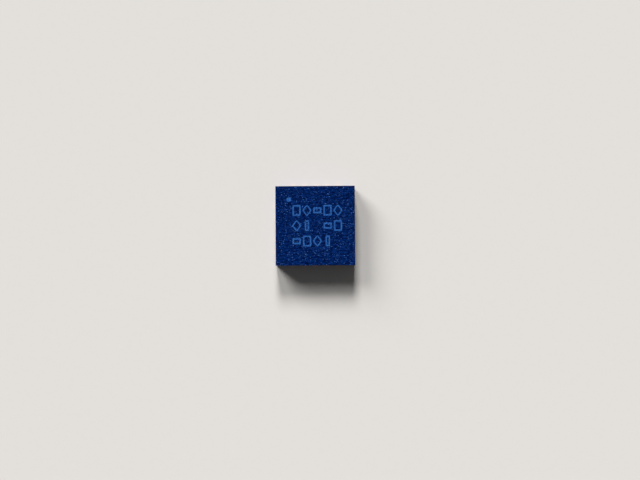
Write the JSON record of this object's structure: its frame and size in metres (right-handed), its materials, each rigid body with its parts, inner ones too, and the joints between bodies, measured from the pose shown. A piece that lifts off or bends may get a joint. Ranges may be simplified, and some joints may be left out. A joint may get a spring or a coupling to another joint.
{
  "type": "qfn chip",
  "caption": "Square flat no-lead chip: a dark moulded block with flush solder terminals along its sides, a bare thermal pad underneath and a round mark at the first terminal.",
  "frame": {"origin": "centre of the seating plane, on the undersides of the terminals and the thermal pad", "axes": "+Z up out of the marked top face; from above with +Y up, terminal 1 is at the top of the -X side and the terminals count anticlockwise"},
  "size_m": [0.0036, 0.0036, 0.0009],
  "materials": {
    "mould_compound": "fine matt spark-eroded grain on top, sawn on the walls",
    "plated_copper": "satin nickel-palladium plating, bare copper on the sawn ends",
    "die_adhesive": "silver-filled epoxy",
    "silicon": "polished silicon",
    "gold_wire": "drawn gold"
  },
  "bodies": {
    "root": {"mould_body": "mould_compound", "thermal_pad": "plated_copper", "die_attach": "die_adhesive", "silicon_die": "silicon", "lead_01": "plated_copper", "lead_02": "plated_copper", "lead_03": "plated_copper", "lead_04": "plated_copper", "lead_05": "plated_copper", "lead_06": "plated_copper", "lead_07": "plated_copper", "lead_08": "plated_copper", "lead_09": "plated_copper", "lead_10": "plated_copper", "lead_11": "plated_copper", "lead_12": "plated_copper", "lead_13": "plated_copper", "lead_14": "plated_copper", "lead_15": "plated_copper", "lead_16": "plated_copper", "lead_17": "plated_copper", "lead_18": "plated_copper", "lead_19": "plated_copper", "lead_20": "plated_copper", "bond_wire_01": "gold_wire", "bond_wire_02": "gold_wire", "bond_wire_03": "gold_wire", "bond_wire_04": "gold_wire", "bond_wire_05": "gold_wire", "bond_wire_06": "gold_wire", "bond_wire_07": "gold_wire", "bond_wire_08": "gold_wire", "bond_wire_09": "gold_wire", "bond_wire_10": "gold_wire", "bond_wire_11": "gold_wire", "bond_wire_12": "gold_wire", "bond_wire_13": "gold_wire", "bond_wire_14": "gold_wire", "bond_wire_15": "gold_wire", "bond_wire_16": "gold_wire", "bond_wire_17": "gold_wire", "bond_wire_18": "gold_wire", "bond_wire_19": "gold_wire", "bond_wire_20": "gold_wire"}
  },
  "joints": []
}
